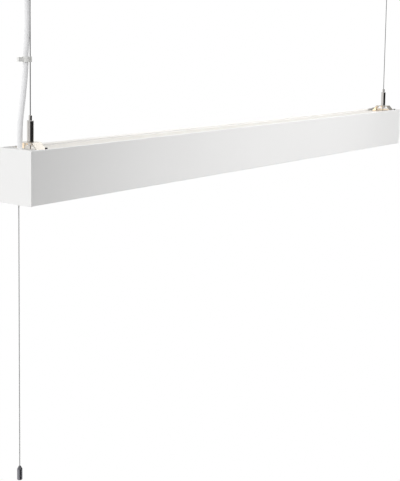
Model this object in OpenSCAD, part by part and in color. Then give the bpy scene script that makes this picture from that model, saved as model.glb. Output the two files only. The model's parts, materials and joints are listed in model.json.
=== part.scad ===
// Hanging linear light with an open, glowing top, hung from the ceiling on two wires.
// Origin: on the ceiling, midway between the two fixing points. +X runs along the
// light towards the end without the cord, -Y is the front, +Z is up. Millimetres.

/* [Light body] */
// Overall length of the light with its end caps
body_l = 1200; // [600:10:2000]
// Width of the aluminium profile
body_w = 70; // [64:1:100]
// Height of the aluminium profile
body_h = 80; // [76:1:120]
// Thickness of the side walls
wall = 2; // [1.5:0.1:2.5]
// Radius of the profile's outer corners
corner_r = 1; // [0.5:0.1:2]
// Width of the rim along each top edge
lip_w = 3; // [2.6:0.1:4]
// Height of the rim
lip_h = 2.5; // [2:0.1:4]
// Height of the groove under the rim
groove_h = 2.5; // [2:0.1:3]
// How far the groove cuts into the side wall
groove_d = 0.6; // [0.3:0.1:1]
// Width of the ledge that the top diffuser lies on
ledge_w = 4; // [3:0.5:6]
// Thickness of the ledge
ledge_t = 1.5; // [1:0.1:2.5]
// Depth of the upper compartment under the rim
bay_h = 58; // [54:1:60]
// Thickness of the web between the two compartments
web_t = 2; // [1.5:0.1:3]
// Width of the lip that holds the bottom diffuser
foot_w = 2; // [1.5:0.1:4]
// Thickness of that lip
foot_t = 1.5; // [1:0.1:2]
// Outer radius of the four round ports for the end caps' pegs
port_r = 3.2; // [2.8:0.1:4]
// Radius of the pegs
peg_r = 1.5; // [1:0.1:1.8]
// Length of the pegs
peg_l = 10; // [6:1:16]

/* [Ends and diffusers] */
// Thickness of each end cap
cap_t = 3; // [2:0.5:4]
// How far the end caps stand proud of the profile
cap_proud = 0.5; // [0.2:0.1:1]
// Thickness of both opal diffusers
diffuser_t = 2; // [1.5:0.1:2.5]
// Length of the covers at the end with the cord
entry_cover_l = 19.5; // [19:0.5:20]
// Length of the covers at the other end
blank_cover_l = 4.5; // [3:0.5:4.5]
// Thickness of the covers' plates
cover_t = 2; // [1.5:0.1:3]
// How far the top covers lie below the rim
cover_drop = 0.5; // [0.2:0.1:1]

/* [Suspension] */
// Height of the ceiling above the rim of the light
rim_drop = 305; // [280:5:600]
// Diameter of the suspension wires
wire_d = 1.5; // [1:0.1:2]
// Distance from the end with the cord to its wire
left_wire_s = 33; // [33:1:45]
// Distance from the other end to its wire
right_wire_s = 17; // [17:0.5:20]
// Length of wire that passes on into the light
wire_tail = 20; // [12:1:24]
// Width of the spring-steel hat clips, along the light
clip_w = 18; // [14:1:18]
// Thickness of the clips
clip_t = 1.5; // [1:0.1:1.6]
// Width of the clips' raised top, across the light
clip_top_w = 25; // [20:1:30]
// Height of the clips' top above the rim
clip_rise = 8.5; // [8:0.5:14]
// Distance between the clips' two inner feet
clip_foot_span = 47; // [45:1:48]
// Diameter of the clips' grub screws
grub_d = 4; // [3:0.5:4]
// Length of the grub screws
grub_l = 6.4; // [5:0.1:8]
// Distance of the grub screws from the clips' middle, along the light
grub_offset = 5; // [4.5:0.5:6]

/* [Wire grippers] */
// Diameter of the gripper bodies
grip_d = 10; // [9.5:0.5:14]
// Height of the gripper bodies
grip_h = 31.5; // [31:0.5:40]
// Diameter of the release tips
tip_d = 5; // [4.8:0.1:5.4]
// Height of the release tips above the bodies
tip_h = 7.5; // [6:0.5:12]
// Travel of the release tips
tip_travel = 2.5; // [1:0.5:3]
// Diameter of the locking balls
ball_d = 1.8; // [1.6:0.1:1.8]
// Diameter of the grippers' threaded studs
stud_d = 6; // [5:0.5:7]

/* [Power cord] */
// Diameter of the power cord
cord_d = 8; // [7:0.5:8]
// Distance from the end of the light to the power cord
cord_s = 12; // [12:0.5:12.5]
// Diameter of the cord gland's flange
gland_d = 12.4; // [12:0.2:14]
// Height of the clip that holds the cord to the wire, above the rim
tie_z = 129; // [120:1:150]
// Height of that clip
tie_h = 8; // [5:1:10]

/* [Pull switch] */
// Distance from the end of the light to the pull cord
pull_s = 9.5; // [9.5:0.5:10.5]
// Length from the underside of the light to the pull's top
pull_l = 397; // [200:1:800]
// Diameter of the pull cord
pull_d = 1.6; // [1:0.1:2]
// Travel of the switch
pull_travel = 10; // [5:1:12]
// Diameter of the pull
knob_d = 8; // [7:0.5:14]
// Length of the pull
knob_l = 21; // [16:1:30]
// Height of the switch body
switch_h = 34; // [32:1:36]
// Width of the switch body, across the light
switch_w = 24; // [18:1:30]
// Diameter of the switch rod
rod_d = 4.8; // [4:0.2:5]
// Diameter of the ball that the pull hangs on
joint_ball_d = 3; // [2.8:0.1:3.4]
// Diameter of the bushing under the light
bushing_d = 9; // [8:0.5:9]
// How far the bushing stands out under the light
bushing_h = 1; // [1:0.5:3]

/* [Ceiling fittings] */
// Diameter of the ceiling rose that takes the power cord
rose_d = 100; // [90:1:120]
// Diameter of the ceiling cup at the other end
cup_d = 35; // [34:1:60]
// Height of both fittings
fitting_h = 30; // [28:1:40]
// Thickness of their metal
sheet_t = 1.5; // [1:0.1:2]
// Diameter of the fixing holes
fixing_d = 5.5; // [3.5:0.5:6]
// Distance between the two outer fixing holes in the rose plate
rose_fixing_span = 60; // [50:1:64]
// Diameter of the hole in the rose plate that the house cable comes through
entry_d = 14; // [10:1:18]
// Diameter of the balls on the wires' upper ends
anchor_ball_d = 3.6; // [3.4:0.1:3.8]

/* [Gear inside] */
// Thickness of the folded gear tray
tray_t = 1.2; // [0.8:0.1:1.5]
// Depth of the tray's top under the rim
tray_drop = 18.8; // [18:0.1:20]
// Clear distance from each end to the tray
tray_inset = 60; // [60:5:100]
// Width of both LED boards
board_w = 20; // [12:1:30]
// Thickness of both LED boards
board_t = 1.6; // [1:0.1:2]
// Distance between neighbouring LEDs
led_pitch = 30; // [20:5:60]
// Size of one LED, along and across
led_w = 3; // [2:0.5:5]
// Height of one LED
led_h = 0.7; // [0.4:0.1:1]
// Length of the LED driver
driver_l = 280; // [150:10:360]
// Width of the LED driver
driver_w = 46; // [30:1:50]
// Height of the LED driver
driver_h = 24; // [15:1:30]
// Diameter of the single leads
lead_d = 2; // [1.6:0.1:2.2]

/* [Hidden] */
$fn = 64;

// Clearances between pieces
slide_gap = 0.1;
loose_gap = 0.2;
eps = 0.01;

// Places along the light
wire_span = body_l - left_wire_s - right_wire_s;
left_wire_x = -wire_span / 2;
right_wire_x = wire_span / 2;
near_x = left_wire_x - left_wire_s;
far_x = near_x + body_l;
profile_l = body_l - 2 * cap_t;
cord_x = near_x + cord_s;
pull_x = near_x + pull_s;

// Heights in the light, measured down from the rim
inner_w = body_w - 2 * wall;
seat_z = -(lip_h + groove_h);
ledge_top_z = seat_z - diffuser_t;
bay_floor_z = -bay_h;
web_under_z = -(bay_h + web_t);
foot_top_z = -(body_h - foot_t);
port_y = inner_w / 2 - port_r + 0.7;
port_top_z = ledge_top_z - ledge_t - port_r + 0.5;
port_low_z = web_under_z - port_r + 0.5;
bushing_end_z = -(body_h + bushing_h);
swing_z = bushing_end_z + 1.5;
rod_end_z = swing_z + 4;
knob_top_z = -(body_h + pull_l);

// Switch
switch_x0 = near_x + cap_t + 0.6;
switch_l = entry_cover_l - 1;
switch_wall = 1.6;
switch_floor = 2;
switch_base_z = foot_top_z + cover_t + 1;
switch_top_z = switch_base_z + switch_h;
head_d = 8;
head_t = 3;
spring_solid_l = 14.5;
head_z = switch_base_z + switch_floor + spring_solid_l + pull_travel;
switch_wire_r = 0.4;
rod_gap = 0.06;

// Grippers, measured up from the rim
chamber_d = grip_d - 2.4;
chamber_z0 = clip_rise + 3.5;
cone_z0 = clip_rise + 17.5;
cone_z1 = clip_rise + 24.5;
neck_d = tip_d + 2 * rod_gap;
ball_z = clip_rise + 22.3;
collar_d = chamber_d - 0.6;
collar_z0 = chamber_z0 + 9.5 + tip_travel;
collar_t = 2;
tip_z = clip_rise + grip_h + tip_h;
wire_bore_d = wire_d + 2 * slide_gap;
spring_wire_r = 0.3;
gripper_nut_w = 10;

// Ceiling fittings, measured down from the ceiling
plate_t = 2;
anchor_head_d = 7.2;
anchor_stud_d = 6;
anchor_head_t = 4;
anchor_floor = 1.2;
anchor_hole_r = 1.3;
anchor_cup_z = -fitting_h - anchor_head_t + anchor_floor;
anchor_ball_z = anchor_cup_z + sqrt(pow(anchor_ball_d / 2, 2) - pow(anchor_hole_r, 2)) + 0.15;
anchor_top_z = -fitting_h + 10;
anchor_nut_w = 8;
nut_t = 3;
grip_flange_d = 12;
rose_cord_x = left_wire_x - 11.5;
cord_top_z = -fitting_h + 14;

// Power cord's route, in the plane of the wires
cord_end_z = -16;
tie_dx = -9;
tie_tail = 11;
power_cord_route = [
  [cord_x, 0, cord_end_z - rim_drop],
  [cord_x, 0, 16 - rim_drop],
  [cord_x + 1.2, 0, 40 - rim_drop],
  [cord_x + 5.6, 0, 69 - rim_drop],
  [cord_x + 9.6, 0, 97 - rim_drop],
  [left_wire_x + tie_dx, 0, tie_z - tie_h / 2 - 3 - rim_drop],
  [left_wire_x + tie_dx, 0, tie_z + tie_h / 2 + 3 - rim_drop],
  [left_wire_x - 6.7, 0, 158 - rim_drop],
  [left_wire_x - 5.6, 0, 184 - rim_drop],
  [left_wire_x - 6, 0, 212 - rim_drop],
  [rose_cord_x, 0, -fitting_h - 16],
  [rose_cord_x, 0, -fitting_h - 6],
  [rose_cord_x, 0, cord_top_z]
];

// Colours
white_paint = [0.93, 0.93, 0.92];
cover_grey = [0.80, 0.80, 0.79];
opal = [0.98, 0.97, 0.93];
steel = [0.72, 0.73, 0.74];
dark_chrome = [0.35, 0.35, 0.37];
black_steel = [0.12, 0.12, 0.13];
brass = [0.78, 0.62, 0.30];
white_nylon = [0.95, 0.95, 0.94];
board_white = [0.88, 0.90, 0.88];
lamp_yellow = [0.98, 0.86, 0.45];

// ---- Functions ----

function unit(v) = v / norm(v);

// Rounds a route: a Catmull-Rom curve through its points, n steps to each stretch.
function route_point(p, i, t) =
  let(a = p[max(i - 1, 0)], b = p[i], c = p[i + 1], d = p[min(i + 2, len(p) - 1)])
  0.5 * (2 * b + (c - a) * t + (2 * a - 5 * b + 4 * c - d) * t * t
    + (3 * b - a - 3 * c + d) * t * t * t);

function smooth_route(p, n) = [
  for (i = [0:len(p) - 2]) for (k = [0:n - 1]) route_point(p, i, k / n),
  p[len(p) - 1]
];

function tangent(p, i) = unit(p[min(i + 1, len(p) - 1)] - p[max(i - 1, 0)]);

// Faces of a tube of rings: the first end, the sides and the last end.
function tube_faces(rings, sides) = [
  for (k = [1:sides - 2]) [0, k, k + 1],
  for (i = [0:rings - 2]) for (k = [0:sides - 1])
    let(a = i * sides + k, b = i * sides + (k + 1) % sides)
    each [[a, a + sides, b], [b, a + sides, b + sides]],
  for (k = [1:sides - 2]) let(o = (rings - 1) * sides) [o, o + k + 1, o + k]
];

// Offsets an open centreline to one side, with mitred corners.
function mitred(p, d) = [
  for (i = [0:len(p) - 1])
    let(
      u = unit(p[min(i + 1, len(p) - 1)] - p[min(i, len(p) - 2)]),
      w = unit(p[max(i, 1)] - p[max(i - 1, 0)]),
      n = unit([-u[1] - w[1], u[0] + w[0]]),
      k = n * [-u[1], u[0]]
    ) p[i] + n * d / k
];

// ---- Shared shapes ----

module at_rim(x = 0) {
  translate([x, 0, -rim_drop]) children();
}

module tube_along(route, r, sides, up = [0, 1, 0]) {
  rings = [
    for (i = [0:len(route) - 1])
      let(t = tangent(route, i), a = unit(cross(up, t)), b = cross(t, a))
      for (k = [0:sides - 1]) route[i] + r * (cos(360 * k / sides) * a + sin(360 * k / sides) * b)
  ];
  polyhedron(points = rings, faces = tube_faces(len(route), sides), convexity = 4);
}

module coil_spring(r, wire_r, z0, z1, turns) {
  steps = 10;
  low = z0 + wire_r * 1.2;
  high = z1 - wire_r * 1.2;
  path = [
    for (i = [0:turns * steps])
      let(t = i / (turns * steps))
      [r * cos(360 * turns * t), r * sin(360 * turns * t), low + (high - low) * t]
  ];
  tube_along(path, wire_r, 6, up = [0, 0, 1]);
}

module hex_nut(across, h, bore_r) {
  difference() {
    cylinder(r = across / 2 / cos(30), h = h, $fn = 6);
    translate([0, 0, -eps]) cylinder(r = bore_r, h = h + 2 * eps);
  }
}

module rounded_rect(w, h, r) {
  translate([-w / 2 + r, 0]) square([w - 2 * r, h]);
  translate([-w / 2, r]) square([w, h - 2 * r]);
  for (x = [-w / 2 + r, w / 2 - r], y = [r, h - r]) {
    translate([x, y]) circle(r = r);
  }
}

// A section drawn across the light (y, z), run along it from x0 for length l.
module along_light(x0, l) {
  translate([x0, 0, -rim_drop]) rotate([90, 0, 90]) linear_extrude(l) children();
}

module port_places() {
  for (side = [-1, 1], z = [port_top_z, port_low_z]) {
    translate([side * port_y, z]) children();
  }
}

// ---- Light body ----

module profile_section() {
  difference() {
    union() {
      difference() {
        translate([0, -body_h]) rounded_rect(body_w, body_h, corner_r);
        channel_section();
      }
      port_places() circle(r = port_r);
    }
    port_places() circle(r = peg_r + slide_gap);
    for (side = [-1, 1], z = [port_top_z, port_low_z]) {
      translate([side * (port_y - port_r / 2 - 0.5), z]) square([port_r + 1, 1.2], center = true);
    }
  }
}

module channel_section() {
  ledge_z = ledge_top_z - ledge_t;
  translate([-inner_w / 2, bay_floor_z]) square([inner_w, ledge_z - bay_floor_z]);
  translate([-inner_w / 2 + ledge_w, ledge_z - 1]) square([inner_w - 2 * ledge_w, 3]);
  translate([-inner_w / 2, ledge_top_z]) square([inner_w, diffuser_t + eps]);
  translate([-inner_w / 2 - groove_d, seat_z]) square([inner_w + 2 * groove_d, groove_h]);
  translate([-body_w / 2 + lip_w, -lip_h - eps]) square([body_w - 2 * lip_w, lip_h + 1]);
  translate([-inner_w / 2, foot_top_z]) square([inner_w, web_under_z - foot_top_z]);
  translate([-inner_w / 2 + foot_w, -body_h - 1]) square([inner_w - 2 * foot_w, foot_t + 1 + eps]);
}

module housing() color(white_paint) {
  notch_l = entry_cover_l + 2;
  difference() {
    along_light(near_x + cap_t, profile_l) profile_section();
    at_rim(near_x + cap_t - eps) {
      translate([0, -switch_w / 2 - 1, web_under_z - 1]) cube([notch_l, switch_w + 2, web_t + 2]);
    }
    tray_screw_places() translate([0, 0, web_under_z - 1]) cylinder(r = 1.6, h = web_t + 2);
    at_rim(earth_x) translate([0, earth_y, web_under_z - 1]) cylinder(r = 2.1, h = web_t + 2);
  }
}

module end_cap() {
  along_light(0, cap_t) translate([0, -body_h - cap_proud]) {
    rounded_rect(body_w + 2 * cap_proud, body_h + 2 * cap_proud, corner_r + cap_proud);
  }
  along_light(cap_t - eps, peg_l + eps) port_places() circle(r = peg_r);
}

module end_cap_left() color(white_paint) {
  translate([near_x, 0, 0]) end_cap();
}

module end_cap_right() color(white_paint) {
  translate([far_x, 0, 0]) mirror([1, 0, 0]) end_cap();
}

// Channel-shaped plate that stands on the ledges and closes the top near an end.
module top_cover_section() {
  w = body_w - 2 * lip_w - 2 * loose_gap;
  difference() {
    translate([-w / 2, ledge_top_z]) square([w, -cover_drop - ledge_top_z]);
    translate([-w / 2 + 2, ledge_top_z - 1]) square([w - 4, -cover_drop - cover_t - ledge_top_z + 1]);
  }
}

module entry_cover_top() color(cover_grey) {
  difference() {
    along_light(near_x + cap_t + slide_gap, entry_cover_l) top_cover_section();
    at_rim(cord_x) translate([0, 0, -10]) cylinder(r = gland_shank_r + slide_gap, h = 20);
  }
}

module blank_cover_top() color(cover_grey) {
  along_light(far_x - cap_t - slide_gap - blank_cover_l, blank_cover_l) top_cover_section();
}

module bottom_cover(x0, l) {
  w = inner_w - 2 * loose_gap;
  at_rim(x0) translate([0, -w / 2, foot_top_z]) cube([l, w, cover_t + 1]);
}

module entry_cover_bottom() color(cover_grey) {
  difference() {
    bottom_cover(near_x + cap_t + slide_gap, entry_cover_l);
    at_rim(pull_x) translate([0, 0, foot_top_z - 1]) cylinder(r = bushing_shank_r + slide_gap, h = 9);
  }
}

module blank_cover_bottom() color(cover_grey) {
  bottom_cover(far_x - cap_t - slide_gap - blank_cover_l, blank_cover_l);
}

module diffuser_plate(z) {
  x0 = near_x + cap_t + entry_cover_l + 2 * slide_gap;
  x1 = far_x - cap_t - blank_cover_l - 2 * slide_gap;
  w = inner_w - 2 * loose_gap;
  at_rim(x0) translate([0, -w / 2, z]) cube([x1 - x0, w, diffuser_t]);
}

module top_diffuser() color(opal) {
  difference() {
    diffuser_plate(ledge_top_z);
    for (x = [left_wire_x, right_wire_x]) {
      at_rim(x) translate([0, 0, ledge_top_z - 1]) cylinder(r = wire_d / 2 + 1, h = diffuser_t + 2);
    }
  }
}

module bottom_diffuser() color(opal) {
  diffuser_plate(foot_top_z);
}

// ---- Gear inside the light ----

tray_w = inner_w - 4;
tray_l = body_l - 2 * tray_inset;
tray_x0 = near_x + tray_inset;
tray_foot_w = 8;
tray_screw_y = tray_w / 2 - tray_foot_w / 2 - 1;
earth_y = 16;
block_l = 30;
block_w = 38;
block_h = 16;
block_x0 = tray_x0 + 10;
driver_x0 = tray_x0 + 80;

earth_x = tray_x0 - 14;
gland_shank_r = cord_d / 2 + 1.2;
gland_nut_w = cord_d + 6;

module tray_screw_places() {
  for (side = [-1, 1], x = [tray_x0 + 20, tray_x0 + tray_l - 20]) {
    at_rim(x) translate([0, side * tray_screw_y, 0]) children();
  }
}

module gear_tray() color(steel) {
  difference() {
    along_light(tray_x0, tray_l) difference() {
      translate([-tray_w / 2, bay_floor_z]) square([tray_w, bay_h - tray_drop]);
      translate([-tray_w / 2 + tray_t, bay_floor_z + tray_t]) {
        square([tray_w - 2 * tray_t, bay_h - tray_drop - 2 * tray_t]);
      }
      translate([-tray_w / 2 + tray_foot_w, bay_floor_z - 1]) {
        square([tray_w - 2 * tray_foot_w, tray_t + 2]);
      }
    }
    tray_screw_places() translate([0, 0, bay_floor_z - 1]) cylinder(r = 1.6, h = 4);
  }
}

module tray_screws() color(steel) {
  tray_screw_places() translate([0, 0, bay_floor_z + tray_t]) {
    cylinder(r = 3, h = 2);
    translate([0, 0, -tray_t - web_t]) cylinder(r = 1.55, h = tray_t + web_t + 1);
  }
}

module led_board(z) {
  at_rim(tray_x0 + 5) translate([0, -board_w / 2, z]) cube([tray_l - 10, board_w, board_t]);
}

module led_row(z) {
  count = floor((tray_l - 30) / led_pitch);
  for (i = [0:count]) {
    at_rim(tray_x0 + tray_l / 2 + (i - count / 2) * led_pitch) {
      translate([-led_w / 2, -led_w / 2, z]) cube([led_w, led_w, led_h]);
    }
  }
}

module led_board_up() color(board_white) {
  led_board(-tray_drop);
}

module leds_up() color(lamp_yellow) {
  led_row(-tray_drop + board_t);
}

module led_board_down() color(board_white) {
  led_board(web_under_z - board_t);
}

module leds_down() color(lamp_yellow) {
  led_row(web_under_z - board_t - led_h);
}

module led_driver() color(white_nylon) {
  top = -tray_drop - tray_t;
  rib = 3;
  at_rim(driver_x0) {
    translate([12, -driver_w / 2, top - driver_h]) cube([driver_l - 24, driver_w, driver_h]);
    translate([0, -driver_w / 2 + 6, top - 3]) cube([driver_l, driver_w - 12, 3]);
    for (i = [0:5]) {
      translate([30 + i * (driver_l - 60) / 5, -driver_w / 2 - 1, top - driver_h]) {
        cube([rib, driver_w + 2, driver_h - 4]);
      }
    }
  }
}

module terminal_block() color(white_nylon) {
  poles = 5;
  at_rim(block_x0) translate([0, 0, bay_floor_z]) difference() {
    union() {
      translate([0, -block_w / 2, 0]) cube([block_l, block_w, block_h - 5]);
      translate([6, -block_w / 2, 0]) cube([block_l - 12, block_w, block_h]);
    }
    for (i = [0:poles - 1]) {
      translate([block_l / 2, (i - 2) * 7, block_h - 4]) cylinder(r = 2, h = 5);
    }
  }
}

module earth_screw() color(brass) {
  at_rim(earth_x) translate([0, earth_y, bay_floor_z]) {
    cylinder(r = 3.8, h = 2.5);
    translate([0, 0, -web_t]) cylinder(r = 2, h = web_t + 1);
  }
}

lead_r = lead_d / 2;
block_entry_z = bay_floor_z + 6;

// A single lead: rounded between its two straight ends.
module lead(points) {
  last = len(points) - 1;
  middle = smooth_route([for (i = [1:last - 1]) points[i]], 3);
  tube_along(concat([points[0]], middle, [points[last]]), lead_r, 8, up = [0.1, 1, 0.2]);
}

module supply_leads() color(white_nylon) at_rim() {
  for (i = [0:2]) {
    z = cord_end_z - (2 - i) * 2.8;
    lead([
      [cord_x, (i - 1) * 2.6, cord_end_z - 0.3],
      [cord_x, (i - 1) * 2.6 + 0.5, z - 4],
      [cord_x + 9, 8 + 3 * i, z - 8],
      [cord_x + 31, 9 + 3 * i, z - 14],
      [block_x0 - 14, 3 + 6 * i, block_entry_z + 7 + (2 - i) * 2],
      [block_x0 - 6, 7 * i, block_entry_z],
      [block_x0 - 0.1, 7 * i, block_entry_z]
    ]);
  }
}

module switch_leads() color(white_nylon) at_rim() {
  for (i = [0:1]) {
    lead([
      [switch_x0 + 12, -4 - 5 * i, switch_top_z + 0.1],
      [switch_x0 + 12, -4 - 5 * i, switch_top_z + 4],
      [switch_x0 + 20, -7 - 5 * i, switch_top_z + 5],
      [block_x0 - 20, -7 - 7 * i, block_entry_z + 6],
      [block_x0 - 6, -7 - 7 * i, block_entry_z],
      [block_x0 - 0.1, -7 - 7 * i, block_entry_z]
    ]);
  }
}

module driver_leads() color(white_nylon) at_rim() {
  for (i = [0:2]) {
    lead([
      [block_x0 + block_l + 0.1, 7 * i, block_entry_z],
      [block_x0 + block_l + 8, 7 * i, block_entry_z],
      [driver_x0 - 4, 4 * i, block_entry_z + 12],
      [driver_x0 + 6, 4 * i, block_entry_z + 15],
      [driver_x0 + 11.9, 4 * i, block_entry_z + 15]
    ]);
  }
}

// ---- Pull switch ----

bushing_shank_r = 3.2;

module switch_body() color(white_nylon) {
  inner_l = switch_l - 2 * switch_wall;
  difference() {
    at_rim(switch_x0) translate([0, -switch_w / 2, switch_base_z]) {
      cube([switch_l, switch_w, switch_h]);
    }
    at_rim(switch_x0 + switch_wall) {
      translate([0, -switch_w / 2 + switch_wall, switch_base_z + switch_floor]) {
        cube([inner_l, switch_w - 2 * switch_wall, switch_h - 2 * switch_floor]);
      }
    }
    at_rim(pull_x) translate([0, 0, switch_base_z - 1]) {
      cylinder(r = rod_d / 2 + rod_gap, h = switch_floor + 2);
    }
  }
}

module switch_plunger() color(white_nylon) {
  at_rim(pull_x) {
    translate([0, 0, head_z]) cylinder(d = head_d, h = head_t);
    translate([0, 0, rod_end_z]) cylinder(d = rod_d, h = head_z - rod_end_z + eps);
    translate([0, 0, swing_z]) cylinder(r = 0.6, h = rod_end_z - swing_z + eps);
    translate([0, 0, swing_z]) sphere(d = joint_ball_d);
  }
}

module switch_spring() color(steel) {
  at_rim(pull_x) {
    coil_spring(3.2, switch_wire_r, switch_base_z + switch_floor, head_z, 6);
  }
}

module switch_contacts() color(brass) {
  x0 = switch_x0 + switch_l - switch_wall - 4;
  at_rim(x0) for (side = [-1, 1]) {
    translate([0, side * 5 - 1.5, switch_base_z + switch_floor]) cube([1, 3, 22]);
    translate([0, side * 5 - 1.5, switch_base_z + switch_floor]) cube([4, 3, 1]);
  }
}

module cord_bushing() color(cover_grey) {
  at_rim(pull_x) difference() {
    union() {
      translate([0, 0, bushing_end_z]) cylinder(d = bushing_d, h = foot_top_z - bushing_end_z);
      translate([0, 0, foot_top_z - eps]) cylinder(r = bushing_shank_r, h = cover_t + 1);
    }
    translate([0, 0, bushing_end_z - 1]) cylinder(r = rod_d / 2 + rod_gap, h = 20);
    translate([0, 0, bushing_end_z - eps]) cylinder(r1 = 3.4, r2 = rod_d / 2, h = 2);
  }
}

module pull_link() color(white_nylon) {
  ball_r = joint_ball_d / 2;
  at_rim(pull_x) translate([0, 0, swing_z]) difference() {
    union() {
      sphere(r = ball_r + 0.9);
      translate([0, 0, -ball_r - 3]) cylinder(r = 1.4, h = 3);
    }
    sphere(r = ball_r + slide_gap);
    cylinder(r1 = 0.01, r2 = 3.6, h = 4);
    translate([0, 0, -ball_r - 4]) cylinder(r = pull_d / 2 + 0.05, h = 2.6);
  }
}

module pull_cord() color(white_nylon) {
  top = swing_z - joint_ball_d / 2 - 1.5;
  at_rim(pull_x) translate([0, 0, knob_top_z - 8]) cylinder(d = pull_d, h = top - knob_top_z + 8);
}

module pull_knob() color(dark_chrome) {
  r = knob_d / 2;
  cone_h = 4;
  at_rim(pull_x) translate([0, 0, knob_top_z - knob_l]) rotate_extrude() {
    polygon([
      [0, 0], [r - 0.6, 0], [r, 0.6], [r, knob_l - cone_h - 0.6], [r - 0.3, knob_l - cone_h],
      [pull_d / 2 + 0.7, knob_l], [pull_d / 2 + 0.05, knob_l],
      [pull_d / 2 + 0.05, knob_l - 8.1], [0, knob_l - 8.1]
    ]);
  }
}

// ---- Suspension ----

module suspension_clip(x) {
  foot_z = seat_z + loose_gap + clip_t / 2;
  foot_y = inner_w / 2 + groove_d - 0.3;
  top_z = clip_rise - clip_t / 2;
  line = [
    [-foot_y, foot_z], [-clip_foot_span / 2, foot_z], [-clip_top_w / 2, top_z],
    [clip_top_w / 2, top_z], [clip_foot_span / 2, foot_z], [foot_y, foot_z]
  ];
  upper = mitred(line, clip_t / 2);
  lower = mitred(line, -clip_t / 2);
  difference() {
    along_light(x - clip_w / 2, clip_w) {
      polygon(concat(upper, [for (i = [len(lower) - 1:-1:0]) lower[i]]));
    }
    at_rim(x) cylinder(d = stud_d + 2 * slide_gap, h = clip_rise + 1);
    grub_places(x) cylinder(d = grub_d + slide_gap, h = 10, center = true);
  }
}

module grub_places(x) {
  for (side = [-1, 1]) {
    at_rim(x + grub_offset) translate([0, side * (clip_foot_span / 2 + 4), seat_z]) children();
  }
}

module suspension_clip_left() color(steel) {
  suspension_clip(left_wire_x);
}

module suspension_clip_right() color(steel) {
  suspension_clip(right_wire_x);
}

module clip_grub_screws() color(black_steel) {
  for (x = [left_wire_x, right_wire_x]) grub_places(x) translate([0, 0, slide_gap]) {
    difference() {
      cylinder(d = grub_d, h = grub_l);
      translate([0, 0, grub_l - 1.5]) cylinder(r = 1.15, h = 2, $fn = 6);
    }
  }
}

module gripper_body(x) {
  bore_r = wire_bore_d / 2;
  top = clip_rise + grip_h;
  at_rim(x) rotate_extrude() polygon([
    [bore_r, clip_rise - clip_t - nut_t - 1], [stud_d / 2, clip_rise - clip_t - nut_t - 1],
    [stud_d / 2, clip_rise], [grip_d / 2 - 0.4, clip_rise], [grip_d / 2, clip_rise + 0.4],
    [grip_d / 2, top - 0.8], [grip_d / 2 - 0.8, top], [neck_d / 2, top],
    [neck_d / 2, cone_z1], [chamber_d / 2, cone_z0], [chamber_d / 2, chamber_z0],
    [bore_r, chamber_z0]
  ]);
}

module gripper_tip(x) {
  bore_r = wire_bore_d / 2;
  at_rim(x) difference() {
    rotate_extrude() polygon([
      [bore_r, collar_z0], [collar_d / 2, collar_z0], [collar_d / 2, collar_z0 + collar_t],
      [tip_d / 2, collar_z0 + collar_t], [tip_d / 2, tip_z - 0.5], [tip_d / 2 - 0.5, tip_z],
      [bore_r, tip_z]
    ]);
    for (a = [0, 120, 240]) {
      rotate([0, 0, a]) translate([0, 0, ball_z]) rotate([0, 90, 0]) {
        cylinder(d = ball_d + slide_gap, h = tip_d);
      }
    }
  }
}

module gripper_balls(x) {
  for (a = [0, 120, 240]) {
    at_rim(x) rotate([0, 0, a]) translate([wire_d / 2 + ball_d / 2 + 0.04, 0, ball_z]) {
      sphere(d = ball_d);
    }
  }
}

module gripper_spring(x) {
  at_rim(x) coil_spring(2.4, spring_wire_r, chamber_z0, collar_z0, 6);
}

module gripper_nut(x) {
  at_rim(x) translate([0, 0, clip_rise - clip_t - nut_t]) {
    hex_nut(gripper_nut_w, nut_t, stud_d / 2 + 0.05);
  }
}

module gripper_body_left() color(steel) {
  gripper_body(left_wire_x);
}

module gripper_body_right() color(steel) {
  gripper_body(right_wire_x);
}

module gripper_nut_left() color(steel) {
  gripper_nut(left_wire_x);
}

module gripper_nut_right() color(steel) {
  gripper_nut(right_wire_x);
}

module gripper_tip_left() color(steel) {
  gripper_tip(left_wire_x);
}

module gripper_tip_right() color(steel) {
  gripper_tip(right_wire_x);
}

module gripper_spring_left() color(steel) {
  gripper_spring(left_wire_x);
}

module gripper_spring_right() color(steel) {
  gripper_spring(right_wire_x);
}

module gripper_balls_left() color(steel) {
  gripper_balls(left_wire_x);
}

module gripper_balls_right() color(steel) {
  gripper_balls(right_wire_x);
}

module suspension_wire(x) {
  foot = -rim_drop - wire_tail;
  translate([x, 0, foot]) cylinder(d = wire_d, h = anchor_ball_z - foot);
  translate([x, 0, anchor_ball_z]) sphere(d = anchor_ball_d);
}

module suspension_wire_left() color(steel) {
  suspension_wire(left_wire_x);
}

module suspension_wire_right() color(steel) {
  suspension_wire(right_wire_x);
}

// ---- Power cord ----

module cable_gland() color(white_nylon) {
  at_rim(cord_x) difference() {
    union() {
      translate([0, 0, -cover_drop]) cylinder(d = gland_d, h = 1);
      translate([0, 0, -12]) cylinder(r = gland_shank_r, h = 12);
    }
    translate([0, 0, -13]) cylinder(d = cord_d + slide_gap, h = 20);
  }
}

module gland_nut() color(white_nylon) {
  at_rim(cord_x) translate([0, 0, -cover_drop - cover_t - 4]) {
    hex_nut(gland_nut_w, 4, gland_shank_r + 0.05);
  }
}

module power_cord() color(white_nylon) {
  tube_along(smooth_route(power_cord_route, 3), cord_d / 2, 12);
}

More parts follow.
